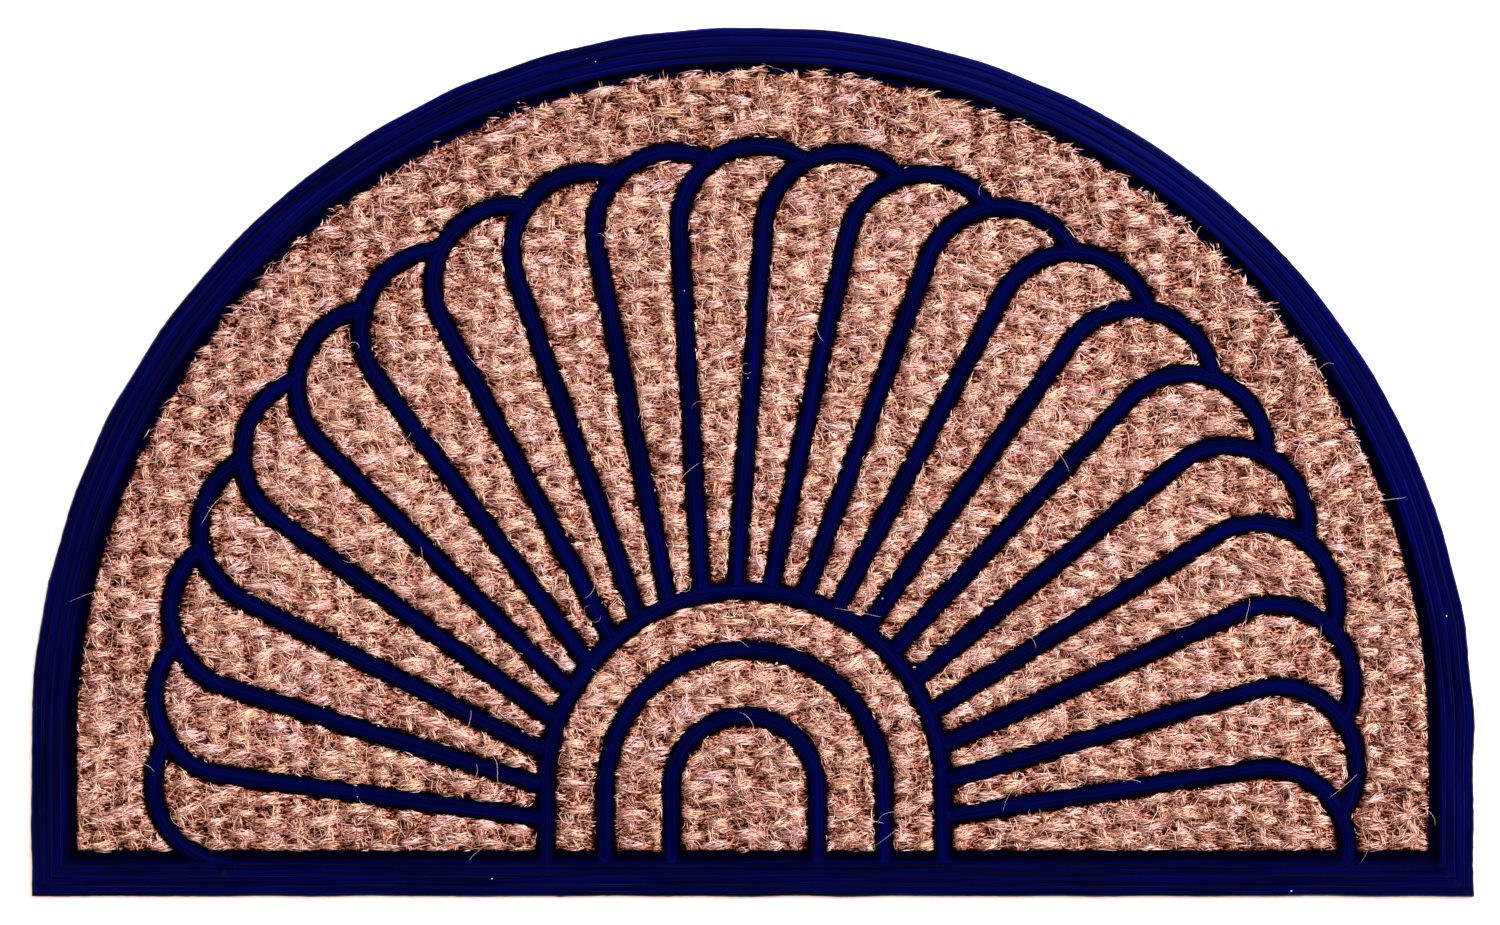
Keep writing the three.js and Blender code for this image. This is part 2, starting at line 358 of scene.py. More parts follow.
def moulding_tree():
    """Sweeps the section along the centrelines and joins the ribs and the tray to one skin."""
    tree, names = new_tree("rubber_moulding", {
        "Section": "NodeSocketObject", "Tray": "NodeSocketObject", "Rubber": "NodeSocketMaterial",
        "Step": "NodeSocketFloat", "Uneven": "NodeSocketVector",
    })
    given = add_node(tree, "NodeGroupInput", {})
    lines = add_node(tree, "GeometryNodeMeshToCurve", {"Mesh": given["Geometry"]})
    even = add_node(tree, "GeometryNodeResampleCurve",
                    {"Curve": lines["Curve"], "Length": given["Step"]}, mode="LENGTH")
    upright = add_node(tree, "GeometryNodeSetCurveNormal", {"Curve": even["Curve"]}, mode="Z_UP")
    length = add_node(tree, "GeometryNodeSplineParameter", {})
    millimetres = add_node(tree, "ShaderNodeMath", {0: length["Length"], 1: MM}, operation="DIVIDE")
    along = add_node(tree, "GeometryNodeStoreNamedAttribute", {
        "Geometry": upright["Curve"], "Name": "along", "Value": millimetres["Value"],
    }, domain="POINT")
    section = add_node(tree, "GeometryNodeObjectInfo", {"Object": given["Section"]})
    section_line = add_node(tree, "GeometryNodeMeshToCurve", {"Mesh": section["Geometry"]})
    swept = add_node(tree, "GeometryNodeCurveToMesh", {
        "Curve": along["Geometry"], "Profile Curve": section_line["Curve"], "Fill Caps": True,
    })
    lumps = add_node(tree, "ShaderNodeTexNoise", {"Scale": RIB_LUMPS, "Detail": 1.0})
    centred = add_node(tree, "ShaderNodeVectorMath",
                       {0: lumps["Color"], 1: (0.5, 0.5, 0.5)}, operation="SUBTRACT")
    uneven = add_node(tree, "ShaderNodeVectorMath",
                      {0: centred["Vector"], 1: given["Uneven"]}, operation="MULTIPLY")
    moulded = add_node(tree, "GeometryNodeSetPosition",
                       {"Geometry": swept["Mesh"], "Offset": uneven["Vector"]})
    island = add_node(tree, "GeometryNodeInputMeshIsland", {})
    apart = add_node(tree, "GeometryNodeSplitToInstances", {
        "Geometry": moulded["Geometry"], "Group ID": island["Island Index"],
    }, domain="POINT")
    tray = add_node(tree, "GeometryNodeObjectInfo", {"Object": given["Tray"]})
    joined = add_node(tree, "GeometryNodeMeshBoolean", {
        "Mesh 2": [apart["Instances"], tray["Geometry"]],
    }, operation="UNION", solver="MANIFOLD")
    real = add_node(tree, "GeometryNodeRealizeInstances", {"Geometry": joined["Mesh"]})
    finish = add_node(tree, "GeometryNodeSetMaterial",
                      {"Geometry": real["Geometry"], "Material": given["Rubber"]})
    add_node(tree, "NodeGroupOutput", {"Geometry": finish["Geometry"]})
    return tree, names


MODEL = bpy.data.collections.new("doormat")
bpy.context.scene.collection.children.link(MODEL)


def add_object(name, mesh):
    """A mesh as an object of the mat, at the origin."""
    piece = bpy.data.objects.new(name, mesh)
    MODEL.objects.link(piece)
    return piece


def grown(name, seed_mesh, tree, names, values):
    """The plain mesh that a tree of geometry nodes makes out of a mesh, as an object."""
    piece = add_object(name, seed_mesh)
    modifier = piece.modifiers.new("grow", "NODES")
    modifier.node_group = tree
    for label, value in values.items():
        modifier[names[label]] = value
    bpy.context.view_layer.update()
    evaluated = piece.evaluated_get(bpy.context.evaluated_depsgraph_get())
    mesh = bpy.data.meshes.new_from_object(evaluated)
    piece.modifiers.remove(modifier)
    piece.data = mesh
    mesh.name = name
    return piece


# Tones, the colour of the painted shade and dust are colours as a screen gives them, 0 to 255, and each
# tone comes with its place on a ramp. The gloss takes a tint, because the rubber's sheen is blue.
RUBBER_TONES = ((0.38, (0, 0, 8)), (0.66, (0, 1, 54)))
RUBBER_SHADE_COLOUR = (0, 0, 6)
RUBBER_DUST = (150, 165, 205)
GLOSS_TINT = (0.005, 0.04, 1.0, 1.0)
MOULD_STREAKS = (0.9, 0.012, 1.0)
STREAK_REGIONS = (12.0, 7.0, 0.0)
SPECK_RADIUS = 0.024
RUBBER_CREASE = 40


def srgb(red, green, blue):
    """A colour as a screen gives it, 0 to 255, turned to the linear colour that a shader takes."""
    share = np.array([red, green, blue]) / 255
    linear = np.where(share > 0.04045, ((share + 0.055) / 1.055) ** 2.4, share / 12.92)
    return (*linear.tolist(), 1.0)


def new_material(name):
    """A new material, its tree of nodes and its shader."""
    material = bpy.data.materials.new(name)
    material.use_nodes = True
    return material, material.node_tree, material.node_tree.nodes["Principled BSDF"]


def carried(tree, name):
    """A value that the mesh carries at its points."""
    return add_node(tree, "ShaderNodeAttribute", {}, attribute_name=name)["Fac"]


def stretched(tree, place, scale):
    """Places stretched by a scale along each axis, so that a noise on them runs in streaks."""
    return add_node(tree, "ShaderNodeMapping", {"Vector": place, "Scale": scale})["Vector"]


def noise(tree, place, scale, detail, distortion=0.0):
    """A noise of values round a half, finer with its scale."""
    return add_node(tree, "ShaderNodeTexNoise", {
        "Vector": place, "Scale": scale, "Detail": detail, "Distortion": distortion,
    })["Fac"]


def colour_ramp(tree, share, tones):
    """The colour at a share of the way along a row of tones."""
    stops = tree.nodes.new("ShaderNodeValToRGB")
    ramp = stops.color_ramp
    ramp.elements.remove(ramp.elements[1])
    for index, (position, colour) in enumerate(tones):
        stop = ramp.elements[0] if index == 0 else ramp.elements.new(position)
        stop.position = position
        stop.color = srgb(*colour)
    feed(tree, stops, {"Fac": share})
    return stops.outputs["Color"]


def mixed(tree, share, first, second, blend="MIX"):
    """Two colours mixed by a share."""
    return add_node(tree, "ShaderNodeMix", {"Factor": share, "A": first, "B": second},
                    data_type="RGBA", blend_type=blend)["Result"]


def roughened(tree, height, strength, depth, under=None):
    """The slope that a height gives to a surface, over another slope. The depth is in millimetres."""
    inputs = {"Height": height, "Strength": strength, "Distance": depth * MM}
    if under is not None:
        inputs["Normal"] = under
    return add_node(tree, "ShaderNodeBump", inputs)["Normal"]


def rubber_material():
    """Satin navy rubber: streaks along the mould, a fine grain, rough flash by the coir, dust, and
    painted shade in the gutter, down the front ramp and on the rib flanks.
    """
    material, tree, shader = new_material("navy_rubber")
    place = add_node(tree, "ShaderNodeTexCoord", {})["Object"]
    grime = carried(tree, "grime")
    region = add_node(tree, "ShaderNodeVectorMath",
                      {0: place, 1: STREAK_REGIONS}, operation="DOT_PRODUCT")
    flow = add_node(tree, "ShaderNodeCombineXYZ", {
        "X": carried(tree, "across"), "Y": carried(tree, "along"), "Z": region["Value"],
    })
    streaks = noise(tree, stretched(tree, flow["Vector"], MOULD_STREAKS), scale=1.0, detail=1.0)
    smudges = noise(tree, place, scale=22.0, detail=4.0)
    flash = noise(tree, place, scale=330.0, detail=3.0)
    grain = noise(tree, place, scale=1500.0, detail=2.0)
    specks = add_node(tree, "ShaderNodeTexVoronoi", {"Vector": place, "Scale": 52.0})
    dust = add_node(tree, "ShaderNodeMath",
                    {0: specks["Distance"], 1: SPECK_RADIUS}, operation="LESS_THAN")
    dusty = mixed(tree, dust["Value"], colour_ramp(tree, streaks, RUBBER_TONES), srgb(*RUBBER_DUST))
    gloss = add_node(tree, "ShaderNodeMapRange", {
        "Value": smudges, "From Min": 0.3, "From Max": 0.7, "To Min": 0.38, "To Max": 0.52,
    })
    # Where the painted shade lies, the rubber is also duller and the flash's lumps are raised.
    dull = add_node(tree, "ShaderNodeMix", {"Factor": grime, "A": gloss["Result"], "B": 1.0})
    lumps = add_node(tree, "ShaderNodeMath", {0: flash, 1: grime}, operation="MULTIPLY")
    lumpy = roughened(tree, lumps["Value"], strength=0.8, depth=1.2)
    lined = roughened(tree, streaks, strength=0.6, depth=0.8, under=lumpy)
    feed(tree, shader, {
        "Base Color": mixed(tree, grime, dusty, srgb(*RUBBER_SHADE_COLOUR)),
        "Roughness": dull["Result"],
        "Normal": roughened(tree, grain, strength=0.15, depth=0.2, under=lined),
        "Specular IOR Level": 0.24,
        "Specular Tint": GLOSS_TINT,
    })
    return material


section = add_object("rib_section", section_mesh())
tray = add_object("rubber_tray", tray_mesh())
tree, names = moulding_tree()
rubber = grown("rubber_moulding", lines_mesh(rib_lines()), tree, names, {
    "Section": section, "Tray": tray, "Rubber": rubber_material(),
    "Step": RIB_STEP * MM, "Uneven": [part * MM for part in RIB_UNEVEN],
})
bpy.data.objects.remove(section)
bpy.data.objects.remove(tray)
rubber.data.shade_smooth()
rubber.data.set_sharp_from_angle(angle=math.radians(RUBBER_CREASE))
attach(rubber, "root")
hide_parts("rubber_base")

# Coir sheet
# The real piece is cut from coarse plain-woven matting of coconut fibre, and the ribs are pressed into
# it. Thick weft yarns run level across the mat, over and under thinner upright warp yarns.
COIR_INSET = 24.3
COIR_UNDERSIDE = 2.3
COIR_UNDER_RIBS = 4.0
LOWEST_TOP = 4.5
CHANNEL_FOOT = 0.35
CHANNEL_MOUTH = 0.6
EDGE_PRESS = 1.9
EDGE_PRESS_REACH = 2.4
GRID = (3.6, 2.1)
GAP_FLOOR = 5.7
# The sheet's painted shade runs from darkest at this height to none at the crown's height.
GAP_DARK = 4.7
CROWN = 8.6
WARP_PITCH = 14.55
PICK_PITCH = 6.35
WARP_LEAN = 0.042
SIDE_WARPS = 27
SIDE_PICKS = 36
WAVE_LENGTHS = (45, 150)
WAVE_COUNT = 8
WAVE_PHASE = 7
GIRTH_TAPER = 0.8
BARE_GIRTH = 0.01
BARE_HEIGHT = 0.6
WEAVE_SEED = 21
# A float of the weft, and a stretch of the warp: half its length and width, the height of its axis in
# the middle and at its ends, half its thickness, its heading, and how much straw is in its brown.
WEFT_AND_WARP = {
    "length": (9.2, 6.4), "width": (3.0, 2.0), "axis": (7.5, 7.1), "end": (5.2, 5.6),
    "height": (1.8, 1.3), "turn": (0.0, 92.4), "straw": (0.45, 0.6),
}
# How uneven the weave is: shares of a size, degrees of a heading, and millimetres of a place.
UNEVEN = {
    "length": 0.18, "width": 0.18, "axis": 0.04, "end": 0.04, "height": 0.18, "turn": 10, "straw": 0.18,
    "shade": 0.05, "pick": 0.1, "warp": 0.8, "x": 1.7, "y": 0.7, "wave_x": 1.4, "wave_y": 1.1,
}
YARN_SHADE = 0.62
RIM_SHADE = 0.09
RIM_INSET = 30
RIM_FADE = 90
RIM_MEAN = 0.45
# Painted shade: the yarns are paler on their crowns, and dark in the gaps and beside the ribs.
COIR_TONES = (
    (0.0, (16, 3, 1)), (0.08, (66, 23, 13)), (0.2, (116, 58, 43)), (0.4, (172, 118, 101)),
    (0.6, (201, 159, 149)), (0.8, (217, 181, 172)), (1.0, (224, 197, 191)),
)
YARN_STREAKS = (330, 900, 500)
YARN_STREAK_GAIN = 2.6
YARN_LEVEL = -1.33
CROWN_GAIN = 0.52
RIB_SHADOW = 1.5
RIB_EDGE_SHADE = 0.8
RIB_EDGE_SHADE_WIDTH = 0.9
COIR_CREASE = 60


def line_distance(x, y, start, end):
    """How far places are from a straight stretch."""
    way = np.subtract(end, start)
    share = ((x - start[0]) * way[0] + (y - start[1]) * way[1]) / (way @ way)
    share = np.clip(share, 0, 1)
    return np.hypot(x - start[0] - share * way[0], y - start[1] - share * way[1])


def arc_distance(x, y, centre, radius, start, end):
    """How far places are from an arc that runs clockwise, or far off where it doesn't pass them."""
    turned = np.mod(start - np.arctan2(y - centre[1], x - centre[0]), 2 * math.pi)
    away = np.abs(np.hypot(x - centre[0], y - centre[1]) - radius)
    return np.where(turned <= start - end, away, np.inf)


def rib_distance(x, y):
    """How far places are from the nearest centreline of a rib."""
    best = np.full(np.shape(x), np.inf)
    leg_end = FRONT_Y + CREST_INSET
    for radius in ARCH_RADII:
        best = np.minimum(best, arc_distance(x, y, ARCH_CENTRE, radius, math.pi, 0))
        for side in (ARCH_CENTRE[0] - radius, ARCH_CENTRE[0] + radius):
            best = np.minimum(best, line_distance(x, y, (side, leg_end), (side, ARCH_CENTRE[1])))
    for petal in range(PETAL_COUNT):
        centre, start, end = cap_arc(petal)
        best = np.minimum(best, arc_distance(x, y, centre, CAP_RADIUS, start, end))
        if petal < PETAL_COUNT - 1:
            joint = centre + CAP_RADIUS * np.array([math.cos(start), math.sin(start)])
            best = np.minimum(best, line_distance(x, y, stem_root(petal), joint))
    return best


def inset_of(x, y):
    """How far inside the mat's outline places lie."""
    from_bow = np.hypot(np.maximum(np.abs(x) - BOW_X, 0), np.maximum(y - BOW_Y, 0))
    return np.minimum(BOW_RADIUS - from_bow, y - FRONT_Y)


def clearance(x, y, overhang=0.0):
    """How far places lie clear of the ribs and of the border, over which some may hang."""
    return np.minimum(rib_distance(x, y) - RIB_HALF_WIDTH, inset_of(x, y) - BORDER_WIDTH + overhang)


def slow_waves(x, y, rng):
    """A smooth random field of height about one, because no loom keeps its yarns quite straight."""
    field = np.zeros(np.shape(x))
    for _ in range(WAVE_COUNT):
        heading = rng.uniform(0, 2 * math.pi)
        cycle = rng.uniform(*WAVE_LENGTHS) / (2 * math.pi)
        field += np.sin((x * math.cos(heading) + y * math.sin(heading)) / cycle
                        + rng.uniform(0, WAVE_PHASE))
    return field / math.sqrt(WAVE_COUNT / 2)


def rim_shade(x, y):
    """How much paler coir is in the middle of the mat than by its rim."""
    return RIM_SHADE * (np.clip((inset_of(x, y) - RIM_INSET) / RIM_FADE, 0, 1) - RIM_MEAN)


def weave_nodes():
    """Every crossing of the weave: where the weft floats over the warp, and where the warp shows."""
    rng = np.random.default_rng(WEAVE_SEED)
    columns = np.arange(-SIDE_WARPS, SIDE_WARPS + 1)
    rows = np.arange(-SIDE_PICKS, SIDE_PICKS + 1)
    column, row = np.meshgrid(columns, rows)
    y = PICK_PITCH * (row + UNEVEN["pick"] * rng.normal(size=(len(rows), 1)))
    y = y + rng.normal(0, UNEVEN["y"], row.shape)
    x = WARP_PITCH * column - WARP_LEAN * y + rng.normal(0, UNEVEN["warp"], (1, len(columns)))
    x = x + rng.normal(0, UNEVEN["x"], row.shape)
    sway_x = UNEVEN["wave_x"] * slow_waves(x, y, rng)
    sway_y = UNEVEN["wave_y"] * slow_waves(x, y, rng)
    x, y = x + sway_x, y + sway_y
    over = (column + row) % 2 == 0
    nodes = {"x": x, "y": y, "over": over}
    typical = {key: np.where(over, *sizes) for key, sizes in WEFT_AND_WARP.items()}
    for key in ("length", "width", "axis", "end", "height"):
        nodes[key] = typical[key] * (1 + UNEVEN[key] * rng.normal(size=row.shape))
    nodes["turn"] = np.radians(typical["turn"] + rng.normal(0, UNEVEN["turn"], row.shape))
    nodes["shade"] = YARN_SHADE + rng.normal(0, UNEVEN["shade"], row.shape) + rim_shade(x, y)
    nodes["straw"] = typical["straw"] + rng.normal(0, UNEVEN["straw"], row.shape)
    return nodes


def pressed(height, clear):
    """Coir sinks a little towards a rib or the border, which hold it down."""
    return height - EDGE_PRESS * np.exp(-np.maximum(clear, 0) / EDGE_PRESS_REACH)


def girth_at(along, least):
    """How thick a yarn is so far along its float, as a share of its middle."""
    return np.sqrt(np.clip(1 - GIRTH_TAPER * along ** 2, least, 1))


def weave_height(x, y, nodes):
    """The height of the bare yarns, without their fibres."""
    best = np.full(np.shape(x), GAP_FLOOR)
    middle_row, middle_column = (np.array(nodes["x"].shape) - 1) // 2
    near_row = np.rint(y / PICK_PITCH).astype(int) + middle_row
    near_column = np.rint((x + WARP_LEAN * y) / WARP_PITCH).astype(int) + middle_column
    for row_step in (-1, 0, 1):
        for column_step in (-1, 0, 1):
            at = (near_row + row_step, near_column + column_step)
            away_x = x - nodes["x"][at]
            away_y = y - nodes["y"][at]
            cosine, sine = np.cos(nodes["turn"][at]), np.sin(nodes["turn"][at])
            along = (away_x * cosine + away_y * sine) / nodes["length"][at]
            aside = (away_y * cosine - away_x * sine) / nodes["width"][at]
            girth = girth_at(along, BARE_GIRTH)
            crown = np.clip(1 - (aside / girth) ** 2, 0, 1)
            axis = nodes["end"][at] + (nodes["axis"][at] - nodes["end"][at]) * (1 - along ** 2)
            top = axis + BARE_HEIGHT * nodes["height"][at] * girth * np.sqrt(crown)
            best = np.where((np.abs(along) < 1) & (crown > 0), np.maximum(best, top), best)
    return best


def face_edges(faces):
    """The three edges of each triangle, in the order of its corners."""
    return faces[:, [0, 1, 1, 2, 2, 0]].reshape(-1, 2)


def split_at(points, faces, fields, key, level):
    """Cuts triangles along the line where one of their fields has that level."""
    field = fields[key]
    above = field > level
    pairs, number = np.unique(np.sort(face_edges(faces), axis=1), axis=0, return_inverse=True)
    number = number.reshape(-1, 3)
    cut = above[pairs[:, 0]] != above[pairs[:, 1]]
    first, second = pairs[cut].T
    share = (level - field[first]) / (field[second] - field[first])
    new = np.full(len(pairs), -1)
    new[cut] = len(points) + np.arange(cut.sum())
    grown_fields = {}
    for name, value in fields.items():
        between = value[first] + (value[second] - value[first]) * share
        grown_fields[name] = np.concatenate([value, between])
    between = points[first] + (points[second] - points[first]) * share[:, None]
    points = np.concatenate([points, between])
    crossed = cut[number].any(axis=1)
    alone = (np.argmin(cut[number[crossed]], axis=1) + 2) % 3
    order = (alone[:, None] + np.arange(3)) % 3
    corner = np.take_along_axis(faces[crossed], order, axis=1).T
    middle = np.take_along_axis(new[number[crossed]], order, axis=1).T
    tip = np.stack([corner[0], middle[0], middle[2]], axis=1)
    near = np.stack([middle[0], corner[1], corner[2]], axis=1)
    far = np.stack([middle[0], corner[2], middle[2]], axis=1)
    return points, np.concatenate([faces[~crossed], tip, near, far]), grown_fields


def edge_loop(faces):
    """The corners round the open edge of triangles, in the order of their faces."""
    steps = face_edges(faces)
    edges = np.sort(steps, axis=1)
    _, number, uses = np.unique(edges, axis=0, return_inverse=True, return_counts=True)
    after = dict(steps[uses[number.ravel()] == 1].tolist())
    loop = [next(iter(after))]
    while after[loop[-1]] != loop[0]:
        loop.append(after[loop[-1]])
    return np.array(loop)


def only_used(faces):
    """The corners that triangles use, and the triangles with those corners numbered anew."""
    used, corners = np.unique(faces, return_inverse=True)
    return used, corners.reshape(-1, 3)


def coir_mesh(nodes):
    """The woven sheet as one closed slab, with a channel under every rib."""
    across = np.arange(-HALF_WIDTH, HALF_WIDTH + GRID[0], GRID[0])
    upward = np.arange(FRONT_Y, -FRONT_Y + GRID[1], GRID[1])
    x, y = (part.ravel() for part in np.meshgrid(across, upward))
    corner = np.arange(len(x)).reshape(len(upward), len(across))
    low, right, high, left = corner[:-1, :-1], corner[:-1, 1:], corner[1:, 1:], corner[1:, :-1]
    faces = np.concatenate([np.stack([low, right, high], -1).reshape(-1, 3),
                            np.stack([low, high, left], -1).reshape(-1, 3)])
    used, faces = only_used(faces[inset_of(x, y)[faces].max(axis=1) > COIR_INSET])
    points = np.stack([x[used], y[used]], axis=1)
    fields = {"inset": inset_of(*points.T), "rib": rib_distance(*points.T) - RIB_HALF_WIDTH}
    points, faces, fields = split_at(points, faces, fields, "inset", COIR_INSET)
    used, faces = only_used(faces[fields["inset"][faces].mean(axis=1) > COIR_INSET])
    points = points[used]
    fields = {name: value[used] for name, value in fields.items()}
    for level in (CHANNEL_FOOT, CHANNEL_MOUTH):
        points, faces, fields = split_at(points, faces, fields, "rib", level)
    clear = np.minimum(fields["rib"], fields["inset"] - BORDER_WIDTH)
    loft = weave_height(*points.T, nodes)
    top = np.maximum(pressed(loft, clear), LOWEST_TOP)
    share = np.clip((fields["rib"] - CHANNEL_FOOT) / (CHANNEL_MOUTH - CHANNEL_FOOT), 0, 1)
    height = COIR_UNDER_RIBS + (top - COIR_UNDER_RIBS) * share
    loop = edge_loop(faces)
    under = len(points) + np.arange(len(loop))
    solid = np.concatenate([np.column_stack([points, height]),
                            np.column_stack([points[loop], np.full(len(loop), COIR_UNDERSIDE)])])
    rim = np.stack([np.roll(loop, -1), loop, under, np.roll(under, -1)], axis=1)
    mesh = build_mesh("coir_sheet", solid, [faces, rim, under[::-1][None]])
    # Painted shade: the sheet is dark in the gaps between the yarns and beside the ribs and the border,
    # and pale on the crowns.
    crown = np.clip((loft - GAP_DARK) / (CROWN - GAP_DARK), 0, 1) * np.clip(clear / RIB_SHADOW, 0, 1)
    crown -= RIB_EDGE_SHADE * np.clip(1 - clear / RIB_EDGE_SHADE_WIDTH, 0, 1)
    crown += rim_shade(*points.T) / CROWN_GAIN
    add_values(mesh, "crown", np.concatenate([crown, np.zeros(len(loop))]))
    return mesh


def scaled(tree, value, gain, plus):
    """A value times a gain, with something added."""
    inputs = {0: value, 1: gain, 2: plus}
    return add_node(tree, "ShaderNodeMath", inputs, operation="MULTIPLY_ADD")["Value"]


def yarn_material():
    """The body of the yarns: brown fibre in streaks, with painted shade: darker than the loose fibres on
    top, and darkest in the gaps and beside the ribs.
    """
    material, tree, shader = new_material("coir_yarn")
    place = add_node(tree, "ShaderNodeTexCoord", {})["Object"]
    streaks = noise(tree, stretched(tree, place, YARN_STREAKS), scale=1.0, detail=2.0, distortion=1.2)
    rise = scaled(tree, carried(tree, "crown"), CROWN_GAIN, YARN_LEVEL)
    shade = scaled(tree, streaks, YARN_STREAK_GAIN, rise)
    feed(tree, shader, {
        "Base Color": colour_ramp(tree, shade, COIR_TONES),
        "Roughness": 0.9,
        "Normal": roughened(tree, streaks, strength=0.8, depth=0.8),
        "Specular IOR Level": 0.04,
    })
    return material


weave = weave_nodes()
coir = add_object("coir_weave", coir_mesh(weave))
coir.data.shade_smooth()
coir.data.set_sharp_from_angle(angle=math.radians(COIR_CREASE))
coir.data.materials.append(yarn_material())
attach(coir, "root")
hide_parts("coir_sheet")

# Fibres of the yarns
# Coir yarn is a loose twist of stiff coconut fibres. They lie along each yarn with its twist, cross one
# another, and stand off at their ends. Each is a thin tapered strand.
# Places along a yarn are shares of half its float, places round it are in degrees, and twist and wave
# are in radians. A pair is a range, or for the twist its mean and spread.
FIBRE = {
    "weft": 32, "warp": 10, "points": 4, "past_border": 6, "middle": 0.45, "half": (0.3, 0.95),
    "round": 80, "twist": (0.7, 0.7), "puff": (0.72, 1.08), "fuzz": 0.06, "wander": 0.45, "wave": 2.2,
    "skew": 0.14, "free_ends": 0.25, "lift": 0.9, "veer": 1.1, "free_from": 0.45, "least_girth": 0.1,
    "dip": -0.2, "radius": (0.2, 0.44), "paler": 0.08, "painted_flank_shade": 0.19, "painted_end_shade": 0.26,
    "shade": 0.34, "palest": 0.92, "straw": 0.25,
}
FIBRE_STREAKS = (250, 1500, 900)
FIBRE_STREAK_GAIN = 1.5
FIBRE_MOTTLE_GAIN = 0.3
FIBRE_DARKER = 0.93
BROWN_CAST = (0.98, 0.96, 1.16, 1)
STRAW_CAST = (1.0, 1.01, 0.72, 1)
FRINGE = {"least": 0.2, "bow": 0.9, "front_cut": 0.8}
RIB_OVERLAP = (-0.8, 0.4)
HIGHEST = 13.0
TRIM_SAMPLES = 11
FEWEST_SAMPLES = 2
FIBRE_SEED = 31
STRAND_TURNS = np.radians([90, 210, 330])
STRAND_TAPER = 0.35
STRANDS_PER_PIECE = 8000
CELL_LENGTH = 4
CELL_MARGINS = (0.06, 0.12)


def unwrap_strands(mesh, count, length):
    """A flat map for a mesh of strands, each in a cell of its own, for its pattern to be kept on."""
    side = np.arange(3)
    ring = np.arange(1, length - 2)[:, None] + 0 * side
    body_along = np.stack([ring, ring + 1, ring + 1, ring], axis=-1).ravel()
    body_turn = np.tile(np.stack([side, side, side + 1, side + 1], axis=-1).ravel(), length - 3)
    tip_along = np.repeat([[0, 1, 1], [length - 1, length - 2, length - 2]], 3, axis=0).ravel()
    tip_turn = np.concatenate([np.stack([side + 0.5, side, side + 1], axis=1),
                               np.stack([side + 0.5, side + 1, side], axis=1)]).ravel()
    columns = math.ceil(math.sqrt(count / CELL_LENGTH))
    rows = math.ceil(count / columns)
    cell = np.arange(count)[:, None]
    margin_u, margin_v = CELL_MARGINS
    places = []
    for along, turn in ((body_along, body_turn), (tip_along, tip_turn)):
        u = (cell % columns + margin_u + (1 - 2 * margin_u) * along / (length - 1)) / columns
        v = (cell // columns + margin_v + (1 - 2 * margin_v) * turn / 3) / rows
        places.append(np.stack([u, v], axis=-1).reshape(-1, 2))
    layer = mesh.uv_layers.new(name="OFBake")
    layer.uv.foreach_set("vector", np.concatenate(places).astype(np.float32).ravel())


def strand_mesh(name, points, radius, shade, straw):
    """Many strands as one mesh: three sides each, with a pointed tip at both ends."""
    count, length = points.shape[:2]
    way = points[:, 2:] - points[:, :-2]
    way /= np.linalg.norm(way, axis=2, keepdims=True)
    aside = np.cross(way, (0.0, 0.0, 1.0))
    aside /= np.maximum(np.linalg.norm(aside, axis=2, keepdims=True), 1e-6)
    upward = np.cross(aside, way)
    taper = np.sin(np.linspace(0, math.pi, length))[1:-1] ** STRAND_TAPER
    reach = radius[:, None, None, None] * taper[None, :, None, None]
    ring = (aside[:, :, None] * np.cos(STRAND_TURNS)[:, None]
            + upward[:, :, None] * np.sin(STRAND_TURNS)[:, None])
    body = (points[:, 1:-1, None] + reach * ring).reshape(count, -1, 3)
    every = np.concatenate([points[:, :1], body, points[:, -1:]], axis=1)
    size = every.shape[1]
    side = np.arange(3)
    after = (side + 1) % 3
    rows = np.arange(length - 3)[:, None] * 3 + 1
    quads = np.stack([rows + side, rows + side + 3, rows + after + 3, rows + after], axis=-1)
    first = np.stack([np.zeros(3, int), side + 1, after + 1], axis=1)
    last = np.stack([np.full(3, size - 1), after + size - 4, side + size - 4], axis=1)
    offset = (np.arange(count) * size)[:, None, None]
    quads = (quads.reshape(1, -1, 4) + offset).reshape(-1, 4)
    tips = (np.concatenate([first, last])[None] + offset).reshape(-1, 3)
    mesh = build_mesh(name, every.reshape(-1, 3), [quads, tips])
    add_values(mesh, "shade", np.repeat(shade, size))
    add_values(mesh, "straw", np.repeat(straw, size))
    unwrap_strands(mesh, count, length)
    mesh.shade_smooth()
    return mesh


def trimmed(places, count, length, rng):
    """Cuts strands where they would lie on a rib. Over the border some may reach a little way."""
    samples = np.linspace(-1, 1, TRIM_SAMPLES)
    x, y, _ = places(np.tile(samples, (count, 1)))
    by_bow = bow_share(y)
    overhang = rng.exponential(1, (count, 1)) * (FRINGE["least"] + FRINGE["bow"] * by_bow)
    clear = clearance(x, y, overhang - FRINGE["front_cut"] * (1 - by_bow))
    fine = clear > rng.uniform(*RIB_OVERLAP, (count, 1))
    every = np.arange(count)
    anchor = np.argmax(clear, axis=1)
    first, last = anchor.copy(), anchor.copy()
    for _ in range(TRIM_SAMPLES):
        lower = np.maximum(first - 1, 0)
        first = np.where(fine[every, lower], lower, first)
        upper = np.minimum(last + 1, TRIM_SAMPLES - 1)
        last = np.where(fine[every, upper], upper, last)
    span = np.linspace(0, 1, length)
    x, y, z = places(samples[first][:, None] + (samples[last] - samples[first])[:, None] * span)
    z = np.minimum(pressed(z, clearance(x, y)), HIGHEST)
    kept = fine[every, anchor] & (last - first >= FEWEST_SAMPLES)
    return np.stack([x, y, z], axis=2), kept


